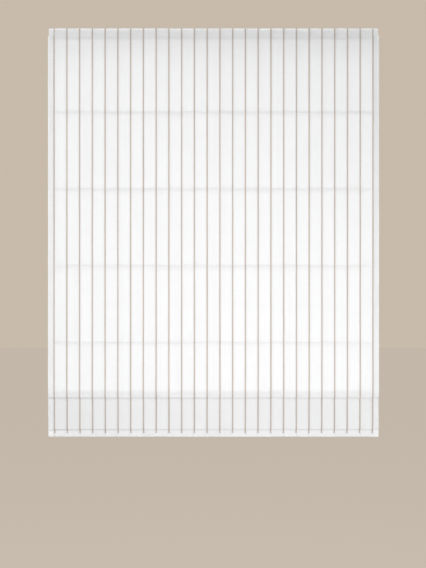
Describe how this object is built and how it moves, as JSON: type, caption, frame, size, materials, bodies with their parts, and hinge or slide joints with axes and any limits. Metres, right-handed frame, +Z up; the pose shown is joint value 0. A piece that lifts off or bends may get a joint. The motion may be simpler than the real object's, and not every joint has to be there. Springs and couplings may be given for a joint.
{
  "type": "roman blind",
  "caption": "Flat roman blind in a white linen-like cloth with a woven taupe pinstripe, hung from a motorised headrail, its lowest folds gathered.",
  "frame": {"origin": "centre of the middle bracket's top face, in the plane that is screwed up to a ceiling or window head", "axes": "+Z up out of the mounting plane, -Y towards the room (the printed front), +X to the right seen from the room"},
  "size_m": [1, 0.0436, 1.236],
  "materials": {
    "white_linen": "plain linen-like weave, matt",
    "stripe_yarn": "woven taupe pinstripe, matt",
    "lining_cloth": "fine plain cotton lining, matt",
    "rail_aluminium": "white powder coat, satin",
    "white_plastic": "moulded, satin",
    "clear_plastic": "milky moulded plastic, smooth",
    "bracket_steel": "zinc plated",
    "tape_weave": "woven fastening tape",
    "grey_plastic": "moulded, matt",
    "lift_cord_braid": "braided polyester cord",
    "shaft_steel": "zinc plated",
    "motor_case": "fine textured moulding",
    "rod_fibreglass": "pultruded rod, smooth",
    "bar_aluminium": "mill finish"
  },
  "bodies": {
    "root": {"headrail": "rail_aluminium", "end_cap_left": "white_plastic", "end_cap_right": "white_plastic", "bracket_left": "bracket_steel", "bracket_centre": "bracket_steel", "bracket_right": "bracket_steel", "hook_tape": "tape_weave", "loop_tape": "tape_weave", "face_fabric": "white_linen", "lining": "lining_cloth", "woven_stripes": "stripe_yarn", "spool_cradle_left": "grey_plastic", "spool_cradle_centre": "grey_plastic", "spool_cradle_right": "grey_plastic", "lift_motor": "motor_case", "cord_guides": "white_plastic", "lift_cord_left": "lift_cord_braid", "lift_cord_centre": "lift_cord_braid", "lift_cord_right": "lift_cord_braid"},
    "drive": {"lift_shaft": "shaft_steel", "spool_left": "grey_plastic", "spool_centre": "grey_plastic", "spool_right": "grey_plastic", "cord_winding_left": "lift_cord_braid", "cord_winding_centre": "lift_cord_braid", "cord_winding_right": "lift_cord_braid", "motor_hubs": "shaft_steel", "shaft_collars": "shaft_steel"},
    "rod_1": {"rod_1": "rod_fibreglass", "rod_rings_1": "clear_plastic", "rod_tips_1": "white_plastic"},
    "rod_2": {"rod_2": "rod_fibreglass", "rod_rings_2": "clear_plastic", "rod_tips_2": "white_plastic"},
    "rod_3": {"rod_3": "rod_fibreglass", "rod_rings_3": "clear_plastic", "rod_tips_3": "white_plastic"},
    "rod_4": {"rod_4": "rod_fibreglass", "rod_rings_4": "clear_plastic", "rod_tips_4": "white_plastic"},
    "rod_5": {"rod_5": "rod_fibreglass", "rod_rings_5": "clear_plastic", "rod_tips_5": "white_plastic"},
    "bottom": {"bottom_bar": "bar_aluminium", "bottom_bar_caps": "white_plastic", "rod_6": "rod_fibreglass", "rod_rings_6": "clear_plastic", "rod_tips_6": "white_plastic", "cord_anchors": "clear_plastic"}
  },
  "joints": [
    {"name": "lift", "type": "slide", "parent": "root", "child": "bottom", "axis": [0, 0, 1], "range_m": [0, 0.9426], "deforming": ["face_fabric", "lining", "woven_stripes", "lift_cord_left", "lift_cord_centre", "lift_cord_right"]},
    {"name": "rod_1_lift", "type": "slide", "parent": "root", "child": "rod_1", "axis": [0, 0, 1], "range_m": [0, 0.1877]},
    {"name": "rod_2_lift", "type": "slide", "parent": "root", "child": "rod_2", "axis": [0, 0, 1], "range_m": [0, 0.3965]},
    {"name": "rod_3_lift", "type": "slide", "parent": "root", "child": "rod_3", "axis": [0, 0, 1], "range_m": [0, 0.6053]},
    {"name": "rod_4_lift", "type": "slide", "parent": "root", "child": "rod_4", "axis": [0, 0, 1], "range_m": [0, 0.8141]},
    {"name": "rod_5_lift", "type": "slide", "parent": "root", "child": "rod_5", "axis": [0, 0, 1], "range_m": [0, 0.9431]},
    {"name": "shaft_turn", "type": "hinge", "parent": "root", "child": "drive", "pos_m": [0, 0.00485, -0.02], "axis": [-1, 0, 0], "range_deg": [0, 5402]}
  ],
  "couplings": [
    {"joint": "rod_1_lift", "follows": "lift", "ratio": 0.1986},
    {"joint": "rod_2_lift", "follows": "lift", "ratio": 0.42011},
    {"joint": "rod_3_lift", "follows": "lift", "ratio": 0.64163},
    {"joint": "rod_4_lift", "follows": "lift", "ratio": 0.86314},
    {"joint": "rod_5_lift", "follows": "lift", "ratio": 1},
    {"joint": "shaft_turn", "follows": "lift", "rad_per_m": 100}
  ]
}
